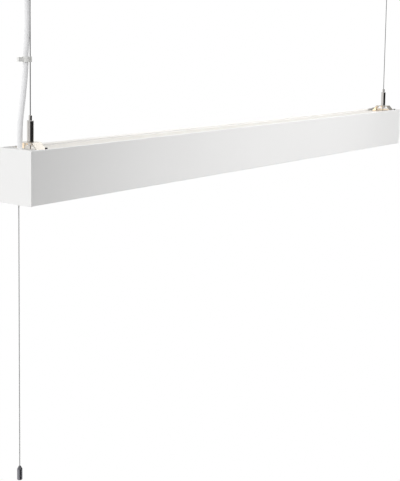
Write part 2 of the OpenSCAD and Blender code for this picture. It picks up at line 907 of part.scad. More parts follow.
// White clip: a ring round the cord, a smaller ring round the wire, and the strap's tail.
module cable_clip() color(white_nylon) {
  ring = 1.4;
  cord_r = cord_d / 2 + 0.3;
  at_rim(left_wire_x) translate([0, 0, tie_z - tie_h / 2]) difference() {
    union() {
      translate([tie_dx, 0, 0]) cylinder(r = cord_r + ring, h = tie_h);
      cylinder(r = wire_d / 2 + ring + 0.4, h = tie_h);
      translate([tie_dx, -1.4, 0]) cube([-tie_dx, 2.8, tie_h]);
      translate([tie_dx - cord_r - tie_tail, -2, 0.8]) cube([tie_tail, 4, tie_h - 1.6]);
    }
    translate([tie_dx, 0, -1]) cylinder(r = cord_r, h = tie_h + 2);
    translate([0, 0, -1]) cylinder(r = wire_d / 2 + 0.05, h = tie_h + 2);
  }
}

// ---- Ceiling fittings ----

module wire_anchor(x) {
  translate([x, 0, 0]) rotate_extrude() polygon([
    [anchor_hole_r, -fitting_h - anchor_head_t], [anchor_head_d / 2 - 0.8, -fitting_h - anchor_head_t],
    [anchor_head_d / 2, -fitting_h - anchor_head_t + 0.8], [anchor_head_d / 2, -fitting_h],
    [anchor_stud_d / 2, -fitting_h], [anchor_stud_d / 2, anchor_top_z],
    [anchor_ball_d / 2 + 0.3, anchor_top_z], [anchor_ball_d / 2 + 0.3, anchor_cup_z],
    [anchor_hole_r, anchor_cup_z]
  ]);
}

module wire_anchor_left() color(steel) {
  wire_anchor(left_wire_x);
}

module wire_anchor_right() color(steel) {
  wire_anchor(right_wire_x);
}

module anchor_nuts() color(steel) {
  for (x = [left_wire_x, right_wire_x]) {
    translate([x, 0, -fitting_h + sheet_t]) hex_nut(anchor_nut_w, nut_t, anchor_stud_d / 2 + 0.05);
  }
}

// A round canopy, open at the top, with a rounded lower edge.
module canopy(d, edge_r) {
  rotate_extrude() difference() {
    canopy_section(d / 2, edge_r, -fitting_h, 0);
    canopy_section(d / 2 - sheet_t, edge_r - sheet_t, -fitting_h + sheet_t, 1);
  }
}

module canopy_section(r, edge_r, z0, z1) {
  translate([0, z0]) square([r - edge_r, z1 - z0]);
  translate([0, z0 + edge_r]) square([r, z1 - z0 - edge_r]);
  intersection() {
    translate([r - edge_r, z0 + edge_r]) circle(r = edge_r);
    translate([0, z0]) square([r, edge_r]);
  }
}

tab_t = 3;
tab_w = 10;
tab_h = 20;
tab_gap = 0.3;
side_screw_z = -16;
side_screw_r = 1.95;

module ceiling_rose() color(white_paint) {
  difference() {
    translate([left_wire_x, 0, 0]) canopy(rose_d, 6);
    translate([left_wire_x, 0, -fitting_h - 1]) cylinder(d = anchor_stud_d + slide_gap, h = 4);
    translate([rose_cord_x, 0, -fitting_h - 1]) cylinder(r = rose_grip_r + slide_gap, h = 4);
    translate([left_wire_x, 0, side_screw_z]) rotate([0, 90, 0]) {
      cylinder(r = side_screw_r + slide_gap, h = rose_d + 2, center = true);
    }
  }
}

rose_grip_r = cord_d / 2 + 0.9;

module rose_plate() color(steel) {
  plate_r = rose_d / 2 - sheet_t - tab_gap;
  difference() {
    translate([left_wire_x, 0, 0]) {
      translate([0, 0, -plate_t]) cylinder(r = plate_r, h = plate_t);
      for (side = [-1, 1]) {
        translate([side * (plate_r - 1 - tab_t / 2) - tab_t / 2, -tab_w / 2, -plate_t - tab_h]) {
          cube([tab_t, tab_w, tab_h + eps]);
        }
      }
    }
    translate([left_wire_x, 0, side_screw_z]) rotate([0, 90, 0]) {
      cylinder(r = side_screw_r + 0.05, h = rose_d, center = true);
    }
    for (y = [-rose_fixing_span / 2, 0, rose_fixing_span / 2]) {
      translate([left_wire_x, y, -plate_t - 1]) cylinder(d = fixing_d, h = plate_t + 2);
    }
    translate([left_wire_x - 20, -18, -plate_t - 1]) cylinder(d = entry_d, h = plate_t + 2);
  }
}

module rose_screws() color(steel) {
  for (side = [0, 180]) {
    translate([left_wire_x, 0, side_screw_z]) rotate([0, 0, side]) rotate([0, 90, 0]) {
      translate([0, 0, rose_d / 2]) cylinder(r = 3.4, h = 2);
      translate([0, 0, rose_d / 2 - 8]) cylinder(r = side_screw_r, h = 8 + eps);
    }
  }
}

module rose_cord_grip() color(white_nylon) {
  translate([rose_cord_x, 0, 0]) difference() {
    union() {
      translate([0, 0, -fitting_h - 2]) cylinder(d = grip_flange_d, h = 2);
      translate([0, 0, -fitting_h - eps]) cylinder(r = rose_grip_r, h = 12);
    }
    translate([0, 0, -fitting_h - 3]) cylinder(d = cord_d + slide_gap, h = 20);
  }
}

module rose_terminal() color(white_nylon) {
  translate([left_wire_x + 14, -9, -plate_t - 12]) difference() {
    cube([22, 18, 12]);
    for (i = [0:2]) translate([11, 9 + (i - 1) * 5.5, -1]) cylinder(r = 1.8, h = 4);
  }
}

module rose_leads() color(white_nylon) {
  for (i = [0:2]) {
    rise = (2 - i) * 2.6;
    lead([
      [rose_cord_x, (i - 1) * 2.6, cord_top_z + 0.3],
      [rose_cord_x, (i - 1) * 2.6 + 0.5, cord_top_z + 3 + rise],
      [rose_cord_x + 6, 7 + i * 2.8, -11.5 + rise],
      [left_wire_x + 2, 8 + i * 2.8, -11 + rise],
      [left_wire_x + 8, (i - 1) * 5.5 + 2, -8.5],
      [left_wire_x + 11, (i - 1) * 5.5, -8],
      [left_wire_x + 13.9, (i - 1) * 5.5, -8]
    ]);
  }
}

module ceiling_cup() color(steel) {
  difference() {
    translate([right_wire_x, 0, 0]) canopy(cup_d, 4);
    translate([right_wire_x, 0, -fitting_h - 1]) cylinder(d = anchor_stud_d + slide_gap, h = 4);
    cup_screw_hole(slide_gap);
  }
}

module cup_screw_hole(gap) {
  translate([right_wire_x, 0, -8]) rotate([90, 0, 0]) cylinder(r = 1.45 + gap, h = cup_d);
}

module cup_plate() color(steel) {
  r = cup_d / 2 - sheet_t - 0.2;
  difference() {
    translate([right_wire_x, 0, -12]) difference() {
      cylinder(r = r, h = 12);
      translate([0, 0, -1]) cylinder(r = r - 3, h = 10);
      cylinder(d = fixing_d, h = 13);
    }
    cup_screw_hole(0.05);
  }
}

module cup_screw() color(steel) {
  reach = cup_d / 2 - sheet_t - 3;
  translate([right_wire_x, -reach, -8]) rotate([90, 0, 0]) {
    cylinder(r = 1.45, h = cup_d / 2 - reach + 1);
    translate([0, 0, cup_d / 2 - reach + slide_gap]) cylinder(r = 2.6, h = 1.4);
  }
}

housing();
end_cap_left();
end_cap_right();
entry_cover_top();
entry_cover_bottom();
blank_cover_top();
blank_cover_bottom();
top_diffuser();
bottom_diffuser();
gear_tray();
tray_screws();
led_board_up();
led_board_down();
leds_up();
leds_down();
led_driver();
terminal_block();
earth_screw();
supply_leads();
switch_leads();
driver_leads();
switch_body();
switch_plunger();
switch_spring();
switch_contacts();
cord_bushing();
pull_link();
pull_cord();
pull_knob();
suspension_clip_left();
suspension_clip_right();
clip_grub_screws();
gripper_body_left();
gripper_body_right();
gripper_nut_left();
gripper_nut_right();
gripper_tip_left();
gripper_tip_right();
gripper_spring_left();
gripper_spring_right();
gripper_balls_left();
gripper_balls_right();
cable_gland();
gland_nut();
power_cord();
cable_clip();
suspension_wire_left();
suspension_wire_right();
wire_anchor_left();
wire_anchor_right();
anchor_nuts();
ceiling_rose();
rose_plate();
rose_screws();
rose_cord_grip();
rose_terminal();
rose_leads();
ceiling_cup();
cup_plate();
cup_screw();
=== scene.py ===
import json
import math

import bpy
import numpy as np
from mathutils import Matrix, Vector


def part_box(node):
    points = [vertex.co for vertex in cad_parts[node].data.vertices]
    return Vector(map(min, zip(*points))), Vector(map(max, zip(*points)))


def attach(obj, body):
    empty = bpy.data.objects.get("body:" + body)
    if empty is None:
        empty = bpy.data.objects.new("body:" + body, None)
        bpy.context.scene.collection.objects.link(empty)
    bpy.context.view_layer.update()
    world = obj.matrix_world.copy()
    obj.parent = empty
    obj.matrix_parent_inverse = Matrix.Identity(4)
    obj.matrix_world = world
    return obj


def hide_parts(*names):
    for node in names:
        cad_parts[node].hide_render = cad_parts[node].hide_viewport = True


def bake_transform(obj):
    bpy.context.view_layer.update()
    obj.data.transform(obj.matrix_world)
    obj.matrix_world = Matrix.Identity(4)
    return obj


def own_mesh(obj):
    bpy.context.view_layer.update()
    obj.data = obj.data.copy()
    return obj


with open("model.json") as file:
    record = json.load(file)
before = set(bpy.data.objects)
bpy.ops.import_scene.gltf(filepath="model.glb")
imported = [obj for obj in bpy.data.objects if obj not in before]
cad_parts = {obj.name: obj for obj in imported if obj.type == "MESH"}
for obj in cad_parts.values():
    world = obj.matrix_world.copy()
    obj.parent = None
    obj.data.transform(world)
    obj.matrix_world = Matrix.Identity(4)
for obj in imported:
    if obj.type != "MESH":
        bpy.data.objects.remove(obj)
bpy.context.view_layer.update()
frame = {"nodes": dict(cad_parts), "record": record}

nodes = frame["nodes"]
slotOf = {part["node"]: part["material_slot"] for part in frame["record"]["subparts"]}
scene = bpy.context.scene
print("frame loaded:", len(nodes), "nodes")


# The camera stands a little above the light, off its cord end. Its lens is shifted, so that
# uprights stay nearly parallel, and it is rolled by under a degree.
view = {
    "place": (-1.6134, -1.0722, -0.1384),
    "turn": 53.657,   # degrees from +Y towards +X
    "down": 6.0,      # degrees below the horizontal
    "roll": 0.87,     # degrees
    "lens": 75.684,   # mm on a 36 mm sensor
    "shift": -0.2048,
    "near": 0.01,
    "far": 200,
}

turn, down, roll = (math.radians(view[key]) for key in ("turn", "down", "roll"))
flat = math.cos(down)
looking = Vector((math.sin(turn) * flat, math.cos(turn) * flat, -math.sin(down)))
level = Vector((math.cos(turn), -math.sin(turn), 0))
upright = level.cross(looking)
right = level * math.cos(roll) + upright * math.sin(roll)
top = upright * math.cos(roll) - level * math.sin(roll)
cameraData = bpy.data.cameras.new("photoCamera")
cameraData.lens = view["lens"]
cameraData.shift_y = view["shift"]
cameraData.clip_start, cameraData.clip_end = view["near"], view["far"]
camera = bpy.data.objects.new("photoCamera", cameraData)
camera.location = view["place"]
camera.rotation_euler = Matrix((right, top, -looking)).transposed().to_euler()
scene.collection.objects.link(camera)
scene.camera = camera
scene.view_settings.view_transform = "Standard"
print("camera set")


# A tube's faces: ring i, side k joins ring i + 1, side k + 1. Each end closes on one middle point.
def tubeFaces(rings, sides, first):
    i = np.arange(rings - 1)[:, None]
    k = np.arange(sides)[None, :]
    a, b = i * sides + k, i * sides + (k + 1) % sides
    quads = np.stack([a, b, b + sides, a + sides], -1).reshape(-1, 4) + first
    side = np.arange(sides)
    after = (side + 1) % sides
    last = (rings - 1) * sides
    low, high = rings * sides, rings * sides + 1
    fans = np.concatenate([
        np.stack([np.full(sides, low), after, side], -1),
        np.stack([np.full(sides, high), last + side, last + after], -1),
    ]) + first
    return quads, fans


# One mesh of closed tubes. Each tube is an array (rings, sides, 3). The faces are turned outwards
# where the enclosed volume, judged by the sum of a . (b x c) over the faces, comes out negative.
# The UV is the share of the way round and the length along the tube.
def tubeMesh(name, tubes):
    points, faces, coords, first = [], [], [], 0
    for tube in tubes:
        rings, sides = tube.shape[:2]
        quads, fans = tubeFaces(rings, sides, first)
        ends = np.stack([tube[0].mean(0), tube[-1].mean(0)])
        flat = np.concatenate([tube.reshape(-1, 3), ends])
        a, b, c = (flat[quads[:, n] - first] for n in (0, 1, 2))
        if (a * np.cross(b, c)).sum() < 0:
            quads, fans = quads[:, ::-1], fans[:, ::-1]
        step = np.linalg.norm(np.diff(tube.mean(1), axis=0), axis=1)
        along = np.concatenate([[0], np.cumsum(step)])
        ring, side = (quads - first) // sides, (quads - first) % sides
        wraps = (side.max(1) - side.min(1) > 1)[:, None] & (side == 0)
        uv = np.stack([np.where(wraps, sides, side) / sides, along[ring]], -1)
        coords += [uv.reshape(-1, 2), np.zeros((len(fans) * 3, 2))]
        points.append(flat)
        faces += quads.tolist() + fans.tolist()
        first += len(flat)
    mesh = bpy.data.meshes.new(name)
    mesh.from_pydata(np.concatenate(points).tolist(), [], faces)
    layer = mesh.uv_layers.new(name="lay")
    layer.data.foreach_set("uv", np.concatenate(coords).astype(np.float32).ravel())
    mesh.polygons.foreach_set("use_smooth", np.ones(len(faces), bool))
    mesh.update()
    piece = bpy.data.objects.new(name, mesh)
    scene.collection.objects.link(piece)
    return piece


# A smooth curve through the points: on each stretch a cubic whose slope at a point is half the step
# between its neighbours.
def smoothRoute(points, steps):
    p = np.asarray(points, float)
    p = np.concatenate([p[:1], p, p[-1:]])
    t = np.linspace(0, 1, steps, endpoint=False)[None, :, None]
    a, b, c, d = (p[n:len(p) - 3 + n, None] for n in range(4))
    square, cube = 2 * a - 5 * b + 4 * c - d, 3 * b - a - 3 * c + d
    curve = 0.5 * (2 * b + (c - a) * t + square * t**2 + cube * t**3)
    return np.concatenate([curve.reshape(-1, 3), p[-1:]])


# Unit circles, one a row: the cosine along the first direction and the sine along the second.
def circles(first, second, sides):
    angle = np.linspace(0, 2 * np.pi, sides, endpoint=False)[None, :, None]
    return np.cos(angle) * first[:, None] + np.sin(angle) * second[:, None]


# A round tube along a route that lies in a plane y = constant: each ring is the route's point plus
# the radius times a circle that is spanned by Y and the normal in that plane.
def flatRouteTube(route, radius, sides):
    slope = np.gradient(route, axis=0)
    slope /= np.linalg.norm(slope, axis=1)[:, None]
    across = np.tile([0.0, 1.0, 0.0], (len(route), 1))
    return route[:, None] + radius * circles(across, np.cross(slope, across), sides)


# Strands twisted about a vertical line: strand s winds at radius middle, one turn in each lay,
# and every ring is a circle of the strand's own radius.
def twistedStrands(x, y, z0, z1, count, strand, middle, lay, perTurn, sides):
    rings = max(2, int((z1 - z0) / lay * perTurn) + 1)
    z = np.linspace(z0, z1, rings)
    angle = np.linspace(0, 2 * np.pi, sides, endpoint=False)
    tubes = []
    for s in range(count):
        turnOf = 2 * np.pi * ((z - z0) / lay + s / count)
        cx, cy = x + middle * np.cos(turnOf), y + middle * np.sin(turnOf)
        ring = np.stack([
            cx[:, None] + strand * np.cos(angle),
            cy[:, None] + strand * np.sin(angle),
            np.repeat(z[:, None], sides, 1),
        ], -1)
        tubes.append(ring)
    return tubes


# A ball as rings: latitude from nearly pole to pole, radius times cosine out and sine up.
def ball(x, y, z, radius, rings=18, sides=24, gap=0.02):
    up = np.linspace(-np.pi / 2 + gap, np.pi / 2 - gap, rings)
    angle = np.linspace(0, 2 * np.pi, sides, endpoint=False)
    out = radius * np.cos(up)[:, None]
    return np.stack([
        x + out * np.cos(angle), y + out * np.sin(angle),
        np.repeat((z + radius * np.sin(up))[:, None], sides, 1),
    ], -1)


# Where the wires stand along the light.
light = {"wireLeft": -0.575, "wireRight": 0.575}

powerCord = {
    "diameter": 0.008,
    "route": [
        (-0.596, 0, -0.321), (-0.596, 0, -0.289), (-0.5948, 0, -0.265), (-0.5904, 0, -0.236),
        (-0.5864, 0, -0.208), (-0.584, 0, -0.183), (-0.584, 0, -0.169), (-0.5817, 0, -0.147),
        (-0.5806, 0, -0.121), (-0.581, 0, -0.093), (-0.5865, 0, -0.046), (-0.5865, 0, -0.036),
        (-0.5865, 0, -0.016),
    ],
    "tie": -0.176,   # height of the clip's middle
    "steps": 14,
    "sides": 32,
}

# The cord is two pieces that meet in its clip: one bends from the light to the wire, and the other
# from the wire to the ceiling.
cordLine = smoothRoute(powerCord["route"], powerCord["steps"])
split = int(np.abs(cordLine[:, 2] - powerCord["tie"]).argmin())
lowerLine, upperLine = cordLine[:split + 1], cordLine[split:]


lowerCord, upperCord = (
    tubeMesh(name, [flatRouteTube(line, powerCord["diameter"] / 2, powerCord["sides"])])
    for name, line in (("power_cord_lower", lowerLine), ("power_cord_upper", upperLine)))
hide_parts("power_cord")
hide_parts("power_cord")
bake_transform(lowerCord)
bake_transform(upperCord)

pullCord = {"x": -0.5985, "top": -0.3875, "foot": -0.790, "diameter": 0.0016,
            "strands": 3, "strand": 0.00043, "lay": 0.0052, "perTurn": 10, "sides": 8, "points": 40}
pullPiece = tubeMesh("pull_cord_twisted", twistedStrands(
    pullCord["x"], 0, pullCord["foot"], pullCord["top"], pullCord["strands"], pullCord["strand"],
    pullCord["diameter"] / 2 - pullCord["strand"], pullCord["lay"], pullCord["perTurn"],
    pullCord["sides"]))
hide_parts("pull_cord")
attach(pullPiece, "pull")

wire = {"diameter": 0.0015, "foot": -0.325, "ball": -0.031405, "ballDiameter": 0.0036,
        "outer": 6, "lay": 0.011, "perTurn": 10, "corePerTurn": 2, "sides": 8}


# A wire of a straight core and strands round it, with a ball at its top. Each strand is a third of
# the wire across.
def suspensionWire(name, x, replaced):
    strand = wire["diameter"] / 6
    span, lay, sides = (x, 0, wire["foot"], wire["ball"]), wire["lay"], wire["sides"]
    tubes = twistedStrands(*span, wire["outer"], strand, 2 * strand, lay, wire["perTurn"], sides)
    tubes += twistedStrands(*span, 1, strand, 0, lay, wire["corePerTurn"], sides)
    tubes.append(ball(x, 0, wire["ball"], wire["ballDiameter"] / 2))
    piece = tubeMesh(name, tubes)
    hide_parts(replaced)
    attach(piece, "suspension")
    return piece


wireLeft = suspensionWire("wire_rope_left", light["wireLeft"], "suspension_wire_left")
wireRight = suspensionWire("wire_rope_right", light["wireRight"], "suspension_wire_right")

# A coil spring: a round wire wound on a circle. Its height rises by one wire a turn over the closed
# turn at each end, and evenly between them. Each ring lies square to the wire, spanned by the
# outward direction and the one square to it and to the wire.
def coilSpring(x, y, look, perTurn=28, sides=12):
    turnsDone = np.linspace(0, look["turns"], int(look["turns"] * perTurn) + 1)
    thick, closed = look["wire"], look["closed"]
    rise = look["top"] - look["foot"] - thick
    loose = look["turns"] - 2 * closed
    knots = [0, closed, closed + loose, look["turns"]]
    heights = [0, closed * thick, rise - closed * thick, rise]
    z = look["foot"] + thick / 2 + np.interp(turnsDone, knots, heights)
    angle = 2 * np.pi * turnsDone
    out = np.stack([np.cos(angle), np.sin(angle), np.zeros_like(angle)], -1)
    line = np.array([x, y, 0]) + look["radius"] * out
    line[:, 2] = z
    slope = np.gradient(line, axis=0)
    slope /= np.linalg.norm(slope, axis=1)[:, None]
    return line[:, None] + thick / 2 * circles(out, np.cross(slope, out), sides)


gripSpring = {"radius": 0.0024, "wire": 0.0006, "foot": -0.293, "top": -0.28105,
              "turns": 6, "closed": 1, "travel": 0.0025}
switchSpring = {"radius": 0.0032, "wire": 0.0008, "foot": -0.3785, "top": -0.35405,
                "turns": 7, "closed": 1, "travel": 0.010}
springPieces = []
for name, x, look, replaced, joint in (
    ("grip_coil_left", light["wireLeft"], gripSpring, "gripper_spring_left", "release_left"),
    ("grip_coil_right", light["wireRight"], gripSpring, "gripper_spring_right", "release_right"),
    ("switch_coil", pullCord["x"], switchSpring, "switch_spring", "switch_pull"),
):
    coil = tubeMesh(name, [coilSpring(x, 0, look)])
    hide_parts(replaced)
    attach(coil, "light")
    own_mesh(coil)
    springPieces.append((coil, slotOf[replaced]))
print("cords, wires and springs made")


def newGroup(name, inputs, outputs):
    group = bpy.data.node_groups.new(name, "ShaderNodeTree")
    for label, kind, value in inputs:
        socket = group.interface.new_socket(label, in_out="INPUT", socket_type=kind)
        socket.default_value = value
    for label, kind in outputs:
        group.interface.new_socket(label, in_out="OUTPUT", socket_type=kind)
    return group, group.nodes.new("NodeGroupInput"), group.nodes.new("NodeGroupOutput")


def addNode(tree, kind, **settings):
    node = tree.nodes.new(kind)
    for key, value in settings.items():
        setattr(node, key, value)
    return node


# What the groups keep to themselves: the detail of each noise, and how much finer the second size
# of pits is.
fixed = {"tone": 4.0, "pits": 1.0, "finePits": 2.0, "finer": 3.7, "lines": 3.0}


# Slow patches of tone: the colour is darkened, and the gloss roughened, by soft noise.
def makeToneGroup():
    group, start, end = newGroup("softTone", [
        ("Color", "NodeSocketColor", (0.8, 0.8, 0.8, 1)), ("Scale", "NodeSocketFloat", 8.0),
        ("Darken", "NodeSocketFloat", 0.04), ("Roughness", "NodeSocketFloat", 0.4),
        ("Roughen", "NodeSocketFloat", 0.08),
    ], [("Color", "NodeSocketColor"), ("Roughness", "NodeSocketFloat")])
    link = group.links.new
    place = addNode(group, "ShaderNodeTexCoord")
    noise = addNode(group, "ShaderNodeTexNoise")
    noise.inputs["Detail"].default_value = fixed["tone"]
    link(place.outputs["Object"], noise.inputs["Vector"])
    link(start.outputs["Scale"], noise.inputs["Scale"])
    darker = addNode(group, "ShaderNodeMath", operation="MULTIPLY")
    link(noise.outputs["Fac"], darker.inputs[0])
    link(start.outputs["Darken"], darker.inputs[1])
    keep = addNode(group, "ShaderNodeMath", operation="SUBTRACT")
    keep.inputs[0].default_value = 1.0
    link(darker.outputs[0], keep.inputs[1])
    tone = addNode(group, "ShaderNodeMix", data_type="RGBA", blend_type="MULTIPLY")
    tone.inputs["Factor"].default_value = 1.0
    link(start.outputs["Color"], tone.inputs["A"])
    grey = addNode(group, "ShaderNodeCombineColor")
    for channel in ("Red", "Green", "Blue"):
        link(keep.outputs[0], grey.inputs[channel])
    link(grey.outputs[0], tone.inputs["B"])
    link(tone.outputs["Result"], end.inputs["Color"])
    rough = addNode(group, "ShaderNodeMath", operation="MULTIPLY_ADD")
    link(noise.outputs["Fac"], rough.inputs[0])
    link(start.outputs["Roughen"], rough.inputs[1])
    link(start.outputs["Roughness"], rough.inputs[2])
    link(rough.outputs[0], end.inputs["Roughness"])
    return group


# The skin of powder coat and moulded plastic: two sizes of noise laid over each other.
def makeSkinGroup():
    group, start, end = newGroup("finePits", [
        ("Scale", "NodeSocketFloat", 900.0), ("Fine", "NodeSocketFloat", 0.35),
    ], [("Height", "NodeSocketFloat")])
    link = group.links.new
    place = addNode(group, "ShaderNodeTexCoord")
    coarse = addNode(group, "ShaderNodeTexNoise")
    coarse.inputs["Detail"].default_value = fixed["pits"]
    fine = addNode(group, "ShaderNodeTexNoise")
    fine.inputs["Detail"].default_value = fixed["finePits"]
    finer = addNode(group, "ShaderNodeMath", operation="MULTIPLY")
    finer.inputs[1].default_value = fixed["finer"]
    link(start.outputs["Scale"], finer.inputs[0])
    link(start.outputs["Scale"], coarse.inputs["Scale"])
    link(finer.outputs[0], fine.inputs["Scale"])
    for noise in (coarse, fine):
        link(place.outputs["Object"], noise.inputs["Vector"])
    total = addNode(group, "ShaderNodeMath", operation="MULTIPLY_ADD")
    link(fine.outputs["Fac"], total.inputs[0])
    link(start.outputs["Fine"], total.inputs[1])
    link(coarse.outputs["Fac"], total.inputs[2])
    link(total.outputs[0], end.inputs["Height"])
    return group


# Draw and turning marks: noise stretched along one direction.
def makeLinesGroup():
    group, start, end = newGroup("drawnLines", [
        ("Stretch", "NodeSocketVector", (20.0, 1500.0, 1500.0)),
        ("Roughness", "NodeSocketFloat", 0.25), ("Roughen", "NodeSocketFloat", 0.12),
    ], [("Height", "NodeSocketFloat"), ("Roughness", "NodeSocketFloat")])
    link = group.links.new
    place = addNode(group, "ShaderNodeTexCoord")
    stretch = addNode(group, "ShaderNodeMapping")
    link(place.outputs["Object"], stretch.inputs["Vector"])
    link(start.outputs["Stretch"], stretch.inputs["Scale"])
    noise = addNode(group, "ShaderNodeTexNoise")
    noise.inputs["Scale"].default_value = 1.0
    noise.inputs["Detail"].default_value = fixed["lines"]
    link(stretch.outputs[0], noise.inputs["Vector"])
    link(noise.outputs["Fac"], end.inputs["Height"])
    rough = addNode(group, "ShaderNodeMath", operation="MULTIPLY_ADD")
    link(noise.outputs["Fac"], rough.inputs[0])
    link(start.outputs["Roughen"], rough.inputs[1])
    link(start.outputs["Roughness"], rough.inputs[2])
    link(rough.outputs[0], end.inputs["Roughness"])
    return group


# Crystals of a zinc coat: each cell of a Voronoi pattern has its own shade.
def makeSpangleGroup():
    group, start, end = newGroup("zincSpangle", [
        ("Scale", "NodeSocketFloat", 120.0), ("Dark", "NodeSocketColor", (0.5, 0.51, 0.52, 1)),
        ("Bright", "NodeSocketColor", (0.72, 0.73, 0.74, 1)),
    ], [("Color", "NodeSocketColor"), ("Mask", "NodeSocketFloat")])
    link = group.links.new
    place = addNode(group, "ShaderNodeTexCoord")
    cells = addNode(group, "ShaderNodeTexVoronoi")
    link(place.outputs["Object"], cells.inputs["Vector"])
    link(start.outputs["Scale"], cells.inputs["Scale"])
    shade = addNode(group, "ShaderNodeSeparateColor")
    link(cells.outputs["Color"], shade.inputs[0])
    tone = addNode(group, "ShaderNodeMix", data_type="RGBA")
    link(shade.outputs[0], tone.inputs["Factor"])
    link(start.outputs["Dark"], tone.inputs["A"])
    link(start.outputs["Bright"], tone.inputs["B"])
    link(tone.outputs["Result"], end.inputs["Color"])
    link(shade.outputs[0], end.inputs["Mask"])
    return group


groups = {
    "tone": makeToneGroup(), "skin": makeSkinGroup(), "lines": makeLinesGroup(),
    "spangle": makeSpangleGroup(),
}
print("shader groups made")


def startMaterial(name, metallic=0.0, specular=0.5):
    material = bpy.data.materials.new(name)
    material.use_nodes = True
    shader = material.node_tree.nodes["Principled BSDF"]
    shader.inputs["Metallic"].default_value = metallic
    shader.inputs["Specular IOR Level"].default_value = specular
    return material, material.node_tree, shader


def placeGroup(tree, key, **values):
    node = addNode(tree, "ShaderNodeGroup", node_tree=groups[key])
    for label, value in values.items():
        node.inputs[label].default_value = value
    return node


def addBump(tree, shader, height, look):
    bump = addNode(tree, "ShaderNodeBump")
    bump.inputs["Strength"].default_value = look["bump"]
    bump.inputs["Distance"].default_value = look["depth"]
    tree.links.new(height, bump.inputs["Height"])
    tree.links.new(bump.outputs["Normal"], shader.inputs["Normal"])


# A surface whose colour and gloss vary in soft patches.
def tonedSurface(name, look):
    material, tree, shader = startMaterial(name, specular=look.get("specular", 0.5))
    tone = placeGroup(tree, "tone", Color=(*look["color"], 1), Scale=look["patch"],
                      Darken=look["darken"], Roughness=look["rough"], Roughen=look["roughen"])
    tree.links.new(tone.outputs["Color"], shader.inputs["Base Color"])
    tree.links.new(tone.outputs["Roughness"], shader.inputs["Roughness"])
    return material, tree, shader


# A painted or moulded surface: soft tone patches and a fine skin.
def paintedSurface(name, look):
    material, tree, shader = tonedSurface(name, look)
    skin = placeGroup(tree, "skin", Scale=look["grain"], Fine=look["fine"])
    addBump(tree, shader, skin.outputs["Height"], look)
    return material, tree, shader


# Bare metal: drawn or turned lines in its gloss, with soft tone patches in its colour.
def metalSurface(name, look):
    material, tree, shader = startMaterial(name, metallic=1.0)
    tone = placeGroup(tree, "tone", Color=(*look["color"], 1), Scale=look["patch"],
                      Darken=look["darken"])
    tree.links.new(tone.outputs["Color"], shader.inputs["Base Color"])
    lines = placeGroup(tree, "lines", Stretch=look["stretch"], Roughness=look["rough"],
                       Roughen=look["roughen"])
    tree.links.new(lines.outputs["Roughness"], shader.inputs["Roughness"])
    addBump(tree, shader, lines.outputs["Height"], look)
    return material


# A cord's skin: tone patches, and fine marks along the cord that are laid out on its own UV.
def cordSurface(name, look):
    material, tree, shader = tonedSurface(name, look)
    uv = addNode(tree, "ShaderNodeUVMap", uv_map="lay")
    stretch = addNode(tree, "ShaderNodeMapping")
    stretch.inputs["Scale"].default_value = (*look["marks"], 1)
    noise = addNode(tree, "ShaderNodeTexNoise")
    noise.inputs["Scale"].default_value = 1.0
    noise.inputs["Detail"].default_value = look["detail"]
    tree.links.new(uv.outputs["UV"], stretch.inputs["Vector"])
    tree.links.new(stretch.outputs[0], noise.inputs["Vector"])
    addBump(tree, shader, noise.outputs["Fac"], look)
    return material


# A surface's own glow, faintly clouded.
def addGlow(tree, shader, look):
    glow = placeGroup(tree, "tone", Color=(*look["color"], 1), Scale=look["patch"],
                      Darken=look["darken"])
    tree.links.new(glow.outputs["Color"], shader.inputs["Emission Color"])
    shader.inputs["Emission Strength"].default_value = look["strength"]


